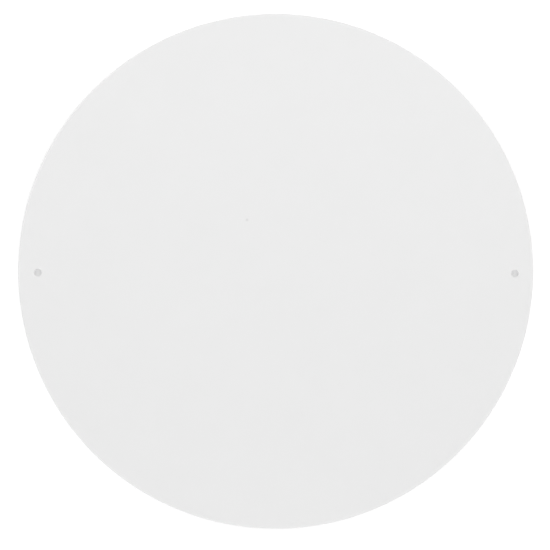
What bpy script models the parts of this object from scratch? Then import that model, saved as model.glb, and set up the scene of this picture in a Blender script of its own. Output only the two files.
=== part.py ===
"""Circle template: one flat round sheet of white plastic with a small fixing hole near each end of one diameter.

Units are metres and +Z is up. The template lies flat: its underside is on Z = 0, with the origin at its middle.
+X runs along the line of the two holes.
"""

import math

import bpy

MM = 0.001

# ---------------------------------------------------------------- driving dimensions

DISC_DIAMETER = 300.0 * MM  # across the finished edge, which is what a pencil follows
SHEET_THICKNESS = 3.0 * MM  # stock sheet
RIM_EDGE_BREAK = 0.3 * MM  # 45 degree chamfer scraped round both corners of the rim

HOLE_DIAMETER = 4.3 * MM  # clears a 4 mm pin, an M4 screw or a no. 8 wood screw
HOLE_RIM_DISTANCE = 11.0 * MM  # from a hole's centre in to the rim, as the jig is set
HOLE_EDGE_BREAK = 0.2 * MM  # 45 degree deburring at both mouths of a hole
PAIR_SHIFT_ALONG = 0.5 * MM  # the drilled pair sits this far along +X from the disc's middle
PAIR_SHIFT_ACROSS = -1.0 * MM  # and this far along +Y

RIM_SEGMENTS = 240
HOLE_SEGMENTS = 32
DRILL_OVERSHOOT = 1.0 * MM  # how far the cutter runs past each face of the sheet
SHARP_CORNER = math.radians(30.0)

# ---------------------------------------------------------------- derived places

DISC_RADIUS = DISC_DIAMETER / 2
HOLE_RADIUS = HOLE_DIAMETER / 2
HALF_HOLE_SPACING = DISC_RADIUS - HOLE_RIM_DISTANCE


def clear_scene():
    for obj in list(bpy.data.objects):
        bpy.data.objects.remove(obj, do_unlink=True)


def new_collection(name):
    collection = bpy.data.collections.new(name)
    bpy.context.scene.collection.children.link(collection)
    return collection


def move_to(obj, collection):
    """Takes an object out of every collection that holds it and puts it in this one."""
    for holder in list(obj.users_collection):
        holder.objects.unlink(obj)
    collection.objects.link(obj)


def white_sheet_material():
    """Neutral white opaque plastic sheet with a satin skin."""
    material = bpy.data.materials.new("white_plastic_sheet")
    material.use_nodes = True
    shader = material.node_tree.nodes["Principled BSDF"]
    shader.inputs["Base Color"].default_value = (0.84, 0.84, 0.84, 1.0)
    shader.inputs["Roughness"].default_value = 0.45
    shader.inputs["Metallic"].default_value = 0.0
    return material


def make_drill(name, x, y, collection):
    """One hole's cutter: a drill with a 45 degree flare that breaks the edge at each face of the sheet.

    The profile starts on the axis above the sheet, runs down the outer side, and ends on the axis below it.
    """
    flare = HOLE_RADIUS + HOLE_EDGE_BREAK + DRILL_OVERSHOOT
    above = SHEET_THICKNESS + DRILL_OVERSHOOT
    profile = [
        (0.0, 0.0, above),
        (flare, 0.0, above),
        (HOLE_RADIUS, 0.0, SHEET_THICKNESS - HOLE_EDGE_BREAK),
        (HOLE_RADIUS, 0.0, HOLE_EDGE_BREAK),
        (flare, 0.0, -DRILL_OVERSHOOT),
        (0.0, 0.0, -DRILL_OVERSHOOT),
    ]
    edges = [(i, i + 1) for i in range(len(profile) - 1)]
    mesh = bpy.data.meshes.new(name)
    mesh.from_pydata(profile, edges, [])
    drill = bpy.data.objects.new(name, mesh)
    drill.location = (x, y, 0.0)
    collection.objects.link(drill)

    turn = drill.modifiers.new("turn", "SCREW")
    turn.axis = "Z"
    turn.angle = math.tau
    turn.steps = HOLE_SEGMENTS
    turn.render_steps = HOLE_SEGMENTS
    turn.use_merge_vertices = True
    turn.merge_threshold = 0.01 * MM

    drill.hide_render = True
    drill.display_type = "WIRE"
    return drill


def make_template_disc(parts, cutters):
    """The template itself: a disc routed from sheet, its rim's corners scraped, then both holes drilled through."""
    bpy.ops.mesh.primitive_cylinder_add(
        vertices=RIM_SEGMENTS,
        radius=DISC_RADIUS,
        depth=SHEET_THICKNESS,
        end_fill_type="NGON",
        location=(0.0, 0.0, SHEET_THICKNESS / 2),
    )
    disc = bpy.context.object
    disc.name = "template_disc"
    disc.data.name = "template_disc"
    disc.data.shade_smooth()
    disc.data.set_sharp_from_angle(angle=SHARP_CORNER)
    disc.data.materials.append(white_sheet_material())
    move_to(disc, parts)

    scrape = disc.modifiers.new("scraped_corners", "BEVEL")
    scrape.width = RIM_EDGE_BREAK
    scrape.segments = 1
    scrape.limit_method = "ANGLE"
    scrape.angle_limit = math.radians(60.0)

    drilling = disc.modifiers.new("fixing_holes", "BOOLEAN")
    drilling.operation = "DIFFERENCE"
    drilling.solver = "EXACT"
    drilling.operand_type = "COLLECTION"
    drilling.collection = cutters
    return disc


clear_scene()
template_parts = new_collection("circle_template")
drills = new_collection("cutters")
make_drill("left_hole_drill", PAIR_SHIFT_ALONG - HALF_HOLE_SPACING, PAIR_SHIFT_ACROSS, drills)
make_drill("right_hole_drill", PAIR_SHIFT_ALONG + HALF_HOLE_SPACING, PAIR_SHIFT_ACROSS, drills)
make_template_disc(template_parts, drills)
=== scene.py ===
"""Looks of the circle template: a flat white plastic disc with two small fixing holes, on a pale floor."""

import math

import bmesh
import bpy
from mathutils import Matrix, Vector


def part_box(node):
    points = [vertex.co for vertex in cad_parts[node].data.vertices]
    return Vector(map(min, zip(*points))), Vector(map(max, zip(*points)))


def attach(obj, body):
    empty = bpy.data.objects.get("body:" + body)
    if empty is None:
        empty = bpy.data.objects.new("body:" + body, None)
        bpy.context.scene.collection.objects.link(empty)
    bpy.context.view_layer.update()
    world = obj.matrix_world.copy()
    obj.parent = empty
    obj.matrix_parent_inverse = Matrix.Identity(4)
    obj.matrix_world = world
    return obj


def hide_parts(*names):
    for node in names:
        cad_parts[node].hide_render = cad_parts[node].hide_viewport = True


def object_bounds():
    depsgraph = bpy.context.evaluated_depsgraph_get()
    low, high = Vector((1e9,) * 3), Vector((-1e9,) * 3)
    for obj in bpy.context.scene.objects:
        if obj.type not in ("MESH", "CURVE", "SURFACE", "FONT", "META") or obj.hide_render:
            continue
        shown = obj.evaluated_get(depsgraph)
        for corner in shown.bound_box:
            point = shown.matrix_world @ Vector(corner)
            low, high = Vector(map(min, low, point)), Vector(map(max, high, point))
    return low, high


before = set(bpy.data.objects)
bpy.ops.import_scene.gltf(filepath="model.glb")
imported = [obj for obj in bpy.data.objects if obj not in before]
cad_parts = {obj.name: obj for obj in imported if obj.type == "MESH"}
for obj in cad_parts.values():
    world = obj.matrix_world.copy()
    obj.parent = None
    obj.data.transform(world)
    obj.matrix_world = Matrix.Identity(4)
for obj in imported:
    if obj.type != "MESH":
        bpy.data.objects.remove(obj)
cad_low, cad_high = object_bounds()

MM = 0.001
scene = bpy.context.scene


# ------------------------------------------------------------------ template disc
# The whole template is one disc, routed from opaque rigid PVC sheet. The router leaves a square rim, whose two
# corners are scraped round, and both fixing holes are drilled through on a jig and deburred.

RIM_STEPS = 720
HOLE_STEPS = 64
CORNER_STEPS = 4
RIM_BAND = 5.0 * MM  # nothing but the rim itself comes this near the rim
SAME_PLACE = 0.05 * MM
SQUARE_CORNER = math.radians(60.0)  # only an edge that turns more than this is a square corner

disc_low, disc_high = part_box("template_disc")
disc_radius = disc_high.x
thickness = disc_high.z - disc_low.z
cad_corners = [v.co.copy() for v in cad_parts["template_disc"].data.vertices]
rim_break = disc_radius - max(c.xy.length for c in cad_corners if c.z > disc_high.z - SAME_PLACE)


def read_hole(side):
    """Centre, bore radius and edge break of the hole on this side of the middle."""
    mouth = [c for c in cad_corners if c.x * side > 0 and c.xy.length < disc_radius - RIM_BAND]
    middle = Vector([(min(c[axis] for c in mouth) + max(c[axis] for c in mouth)) / 2 for axis in (0, 1)])
    reaches = [(c.xy - middle).length for c in mouth]
    return middle, min(reaches), max(reaches) - min(reaches)


fixing_holes = [read_hole(-1), read_hole(1)]

bm = bmesh.new()
bmesh.ops.create_circle(bm, cap_ends=False, segments=RIM_STEPS, radius=disc_radius)
for middle, bore_radius, _ in fixing_holes:
    drill_place = Matrix.Translation((middle.x, middle.y, 0.0))
    bmesh.ops.create_circle(bm, cap_ends=False, segments=HOLE_STEPS, radius=bore_radius, matrix=drill_place)
bmesh.ops.triangle_fill(bm, use_beauty=True, edges=bm.edges[:], normal=(0.0, 0.0, 1.0))
raised = bmesh.ops.extrude_face_region(bm, geom=bm.faces[:], use_keep_orig=True)
upper_points = [g for g in raised["geom"] if isinstance(g, bmesh.types.BMVert)]
bmesh.ops.translate(bm, verts=upper_points, vec=(0.0, 0.0, thickness))
bmesh.ops.recalc_face_normals(bm, faces=bm.faces[:])

for middle, radius, edge_break in [(Vector((0.0, 0.0)), disc_radius, rim_break), *fixing_holes]:
    square_corners = [
        e for e in bm.edges
        if e.calc_face_angle(0.0) > SQUARE_CORNER
        and all(abs((v.co.xy - middle).length - radius) < SAME_PLACE for v in e.verts)
    ]
    bmesh.ops.bevel(
        bm, geom=square_corners, offset=edge_break, offset_type="OFFSET", segments=CORNER_STEPS,
        profile=0.5, affect="EDGES", material=-1, clamp_overlap=False,
    )

PRESSED_SKIN, ROUTED_RIM, DRILLED_BORE = 0, 1, 2
for face in bm.faces:
    if abs(face.normal.z) > 0.999:
        face.material_index = PRESSED_SKIN
    elif face.calc_center_median().xy.length > disc_radius - RIM_BAND:
        face.material_index = ROUTED_RIM
    else:
        face.material_index = DRILLED_BORE

disc_mesh = bpy.data.meshes.new("template_sheet")
bm.to_mesh(disc_mesh)
bm.free()
disc_mesh.shade_smooth()  # the modifier below keeps the flats from shading as if they were domed
disc = bpy.data.objects.new("template_sheet", disc_mesh)
scene.collection.objects.link(disc)
true_flats = disc.modifiers.new("true_flats", "WEIGHTED_NORMAL")
true_flats.mode = "FACE_AREA"
true_flats.weight = 100


def linear(code):
    """The linear colour of an sRGB hex code such as #EEEEEE."""
    steps = [int(code[i:i + 2], 16) / 255 for i in (1, 3, 5)]
    return [s / 12.92 if s <= 0.04045 else ((s + 0.055) / 1.055) ** 2.4 for s in steps] + [1.0]


# Where a Mix node that mixes colours takes its factor and its two colours, and where it gives the mixed one.
FACTOR, FIRST_COLOUR, SECOND_COLOUR, MIXED = 0, 6, 7, 2


def add_node(material, kind, inputs, **settings):
    """A new node with these settings. Each of its inputs is given a value, or an output to be linked from."""
    tree = material.node_tree
    node = tree.nodes.new(kind)
    for name, value in settings.items():
        setattr(node, name, value)
    for socket, source in inputs.items():
        if isinstance(source, bpy.types.NodeSocket):
            tree.links.new(source, node.inputs[socket])
        else:
            node.inputs[socket].default_value = source
    return node


# Rigid PVC filled with white pigment: a neutral, opaque white. Light spreads a little way into the pigment, so
# edges and holes look soft rather than inked.

PVC_IOR = 1.53
LIGHT_DEPTH_MM = 0.8


def finish_pvc(material, colour, roughness, normal):
    """Feeds one surface's own patterns to its shader, with what all the white PVC shares."""
    shader = material.node_tree.nodes["Principled BSDF"]
    shader.inputs["IOR"].default_value = PVC_IOR
    shader.inputs["Subsurface Weight"].default_value = 1.0
    shader.inputs["Subsurface Radius"].default_value = (1.0, 1.0, 1.0)
    shader.inputs["Subsurface Scale"].default_value = LIGHT_DEPTH_MM * MM
    for socket, source in (("Base Color", colour), ("Roughness", roughness), ("Normal", normal)):
        material.node_tree.links.new(source, shader.inputs[socket])


# Both flats keep the skin of the sheet, pressed between satin plates: soft under a lamp, and brighter only at a
# low angle. It is a little cloudy, not quite even, and has faint hairlines from use.

CLOUD_MM = 45.0
WAVE_MM = 70.0  # slow unevenness left by the press
WAVE_HEIGHT_MM = 0.25
GRAIN_MM = 1.6  # the real satin grain is near 0.15 mm, too fine to show, so it is drawn coarser
GRAIN_HEIGHT_MM = 0.012
HAIRLINE_WIDTH_MM = 0.6  # real hairlines are 0.05 mm wide, and are drawn wider to show
HAIRLINE_LENGTH_MM = 45.0
HAIRLINE_TURNS = (20.0, 77.0, 141.0)
HAIRLINE_PEAK = (0.68, 0.76)  # a hairline starts at the first height of its noise, and is full at the second
SPECK_PLACE_MM = (-16.7, 30.0)
SPECK_RADIUS_MM = 1.3
SATIN_ROUGHNESS = (0.41, 0.49)
HAIRLINE_ROUGHNESS = 0.12  # added where a hairline is full
NOISE_REACH = (0.3, 0.7)  # almost all of a noise pattern lies between these heights

skin = bpy.data.materials.new("satin_pressed_white_pvc")
skin.use_nodes = True
skin_place = add_node(skin, "ShaderNodeTexCoord", {}).outputs["Object"]

cloud = add_node(skin, "ShaderNodeTexNoise", {
    "Vector": skin_place, "Scale": 1 / (CLOUD_MM * MM), "Detail": 3.0, "Roughness": 0.5,
})
clouded = add_node(skin, "ShaderNodeMix", {
    FACTOR: cloud.outputs["Fac"], FIRST_COLOUR: linear("#DCDCDC"), SECOND_COLOUR: linear("#DADADA"),
}, data_type="RGBA")

# One tiny grey speck of overheated resin sits just under the skin.
from_speck = add_node(skin, "ShaderNodeVectorMath", {
    0: skin_place, 1: (SPECK_PLACE_MM[0] * MM, SPECK_PLACE_MM[1] * MM, disc_high.z),
}, operation="DISTANCE")
speck = add_node(skin, "ShaderNodeMapRange", {
    "Value": from_speck.outputs["Value"], "From Min": 0.0, "From Max": SPECK_RADIUS_MM * MM,
    "To Min": 1.0, "To Max": 0.0,
}, interpolation_type="SMOOTHSTEP")
specked = add_node(skin, "ShaderNodeMix", {
    FACTOR: speck.outputs["Result"], FIRST_COLOUR: clouded.outputs[MIXED], SECOND_COLOUR: linear("#CCCCCC"),
}, data_type="RGBA")

roughness = add_node(skin, "ShaderNodeMapRange", {
    "Value": cloud.outputs["Fac"], "From Min": NOISE_REACH[0], "From Max": NOISE_REACH[1],
    "To Min": SATIN_ROUGHNESS[0], "To Max": SATIN_ROUGHNESS[1],
}).outputs["Result"]
for turn in HAIRLINE_TURNS:
    laid = add_node(skin, "ShaderNodeMapping", {
        "Vector": skin_place, "Rotation": (0.0, 0.0, math.radians(turn)),
        "Scale": (HAIRLINE_LENGTH_MM * MM, HAIRLINE_WIDTH_MM * MM, 1.0),
    }, vector_type="TEXTURE")
    streaks = add_node(skin, "ShaderNodeTexNoise", {
        "Vector": laid.outputs["Vector"], "Scale": 1.0, "Detail": 1.0,
    })
    hairlines = add_node(skin, "ShaderNodeMapRange", {
        "Value": streaks.outputs["Fac"], "From Min": HAIRLINE_PEAK[0], "From Max": HAIRLINE_PEAK[1],
        "To Min": 0.0, "To Max": HAIRLINE_ROUGHNESS,
    })
    roughness = add_node(skin, "ShaderNodeMath", {
        0: roughness, 1: hairlines.outputs["Result"],
    }, operation="ADD").outputs["Value"]

wave = add_node(skin, "ShaderNodeTexNoise", {
    "Vector": skin_place, "Scale": 1 / (WAVE_MM * MM), "Detail": 1.0,
})
waved = add_node(skin, "ShaderNodeBump", {"Height": wave.outputs["Fac"], "Distance": WAVE_HEIGHT_MM * MM})
grain = add_node(skin, "ShaderNodeTexNoise", {
    "Vector": skin_place, "Scale": 1 / (GRAIN_MM * MM), "Detail": 2.0,
})
grained = add_node(skin, "ShaderNodeBump", {
    "Height": grain.outputs["Fac"], "Distance": GRAIN_HEIGHT_MM * MM, "Normal": waved.outputs["Normal"],
})
finish_pvc(skin, specked.outputs[MIXED], roughness, grained.outputs["Normal"])


# The rim and the bores show the PVC where a tool has cut it: drier and more matt than the skin, and a shade
# greyer, which is painted shade on the rounded rim and down inside the holes.
# The router leaves upright marks along the rim, and the drill leaves rings down the bores. Real marks are some
# 0.2 mm apart, and are drawn coarser to show.

ROUTER_MARK_MM = 0.8
DRILL_RING_MM = 0.5
MARK_LENGTH_MM = 40.0  # far longer than the sheet is thick, so that a mark runs right across the cut
MARK_DEPTH_MM = 0.03
CUT_ROUGHNESS = (0.56, 0.68)


def cut_pvc(name, mark_sides_mm, lighter, darker):
    """A cut surface, with tool marks of this size along X, Y and Z."""
    cut = bpy.data.materials.new(name)
    cut.use_nodes = True
    laid = add_node(cut, "ShaderNodeMapping", {
        "Vector": add_node(cut, "ShaderNodeTexCoord", {}).outputs["Object"],
        "Scale": [side * MM for side in mark_sides_mm],
    }, vector_type="TEXTURE")
    marks = add_node(cut, "ShaderNodeTexNoise", {"Vector": laid.outputs["Vector"], "Scale": 1.0, "Detail": 2.0})
    shade = add_node(cut, "ShaderNodeMix", {
        FACTOR: marks.outputs["Fac"], FIRST_COLOUR: linear(lighter), SECOND_COLOUR: linear(darker),
    }, data_type="RGBA")
    dryness = add_node(cut, "ShaderNodeMapRange", {
        "Value": marks.outputs["Fac"], "From Min": NOISE_REACH[0], "From Max": NOISE_REACH[1],
        "To Min": CUT_ROUGHNESS[0], "To Max": CUT_ROUGHNESS[1],
    })
    ridges = add_node(cut, "ShaderNodeBump", {"Height": marks.outputs["Fac"], "Distance": MARK_DEPTH_MM * MM})
    finish_pvc(cut, shade.outputs[MIXED], dryness.outputs["Result"], ridges.outputs["Normal"])
    return cut


upright_marks = (ROUTER_MARK_MM, ROUTER_MARK_MM, MARK_LENGTH_MM)
rings = (MARK_LENGTH_MM, MARK_LENGTH_MM, DRILL_RING_MM)
disc_mesh.materials.append(skin)
# Both cut greys are darker than the skin as painted shade: the rim's for its rounded edge, the bores' for the
# holes.
disc_mesh.materials.append(cut_pvc("routed_white_pvc_painted_shade", upright_marks, "#D4D4D4", "#C8C8C8"))
disc_mesh.materials.append(cut_pvc("drilled_white_pvc_painted_shade", rings, "#DADADA", "#D2D2D2"))

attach(disc, "root")
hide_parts("template_disc")


# ------------------------------------------------------------------ floor
# A plain matt white studio floor, so wide that its edge is lost against the surround. It lies just clear of the
# template's underside, so that the two faces don't show through each other.

FLOOR_RADIUS = 12.0
FLOOR_GAP_MM = 0.05

bm = bmesh.new()
bmesh.ops.create_circle(bm, cap_ends=True, segments=96, radius=FLOOR_RADIUS)
bmesh.ops.translate(bm, verts=bm.verts[:], vec=(0.0, 0.0, cad_low.z - FLOOR_GAP_MM * MM))
floor_mesh = bpy.data.meshes.new("floor")
bm.to_mesh(floor_mesh)
bm.free()
floor = bpy.data.objects.new("floor", floor_mesh)
scene.collection.objects.link(floor)
floor_paint = bpy.data.materials.new("matt_white_floor_paint")
floor_paint.use_nodes = True
paint = floor_paint.node_tree.nodes["Principled BSDF"]
paint.inputs["Base Color"].default_value = linear("#FFFFFF")
paint.inputs["Roughness"].default_value = 1.0
paint.inputs["Specular IOR Level"].default_value = 0.0
floor_mesh.materials.append(floor_paint)


# ------------------------------------------------------------------ camera
# A long lens straight above the template, so that its rim shows as a true circle. The template sits a
# little high in the frame, and its holes lie a touch off level.

FRAME_WIDTH_MM = 320.6  # measured level with the template's upper face
FRAME_MIDDLE_MM = (-0.35, -2.08)
FRAME_TURN = 0.12  # degrees
LENS_MM = 500.0
SENSOR_MM = 36.0
camera_height = FRAME_WIDTH_MM * MM * LENS_MM / SENSOR_MM

camera_data = bpy.data.cameras.new("camera")
camera_data.lens = LENS_MM
camera_data.sensor_width = SENSOR_MM
camera = bpy.data.objects.new("camera", camera_data)
camera.location = (FRAME_MIDDLE_MM[0] * MM, FRAME_MIDDLE_MM[1] * MM, cad_high.z + camera_height)
camera.rotation_euler = (0.0, 0.0, math.radians(FRAME_TURN))
scene.collection.objects.link(camera)
scene.camera = camera


# ------------------------------------------------------------------ studio light
# An even surround and three softboxes at 45 degrees, as on a copying stand: two small ones close behind the
# template, and a broad one further off before it. They leave the far side of the face a little the brighter.

SURROUND_STRENGTH = 0.93
SOFTBOXES = (  # name, place and side in metres, watts
    ("back_left_softbox", (-0.30, 0.30, 0.424), 0.4, 0.50),
    ("back_right_softbox", (0.30, 0.30, 0.424), 0.4, 0.54),
    ("front_softbox", (0.0, -0.85, 0.85), 0.6, 2.85),
)

world = bpy.data.worlds.new("white_surround")
world.use_nodes = True
world.node_tree.nodes["Background"].inputs["Color"].default_value = linear("#FFFFFF")
world.node_tree.nodes["Background"].inputs["Strength"].default_value = SURROUND_STRENGTH
scene.world = world

for name, place, side, watts in SOFTBOXES:
    softbox_data = bpy.data.lights.new(name, "AREA")
    softbox_data.shape = "SQUARE"
    softbox_data.size = side
    softbox_data.energy = watts
    softbox = bpy.data.objects.new(name, softbox_data)
    softbox.location = place
    softbox.rotation_euler = Vector(place).to_track_quat("Z", "Y").to_euler()
    softbox.visible_camera = False
    scene.collection.objects.link(softbox)

scene.view_settings.view_transform = "Standard"
scene.view_settings.look = "None"
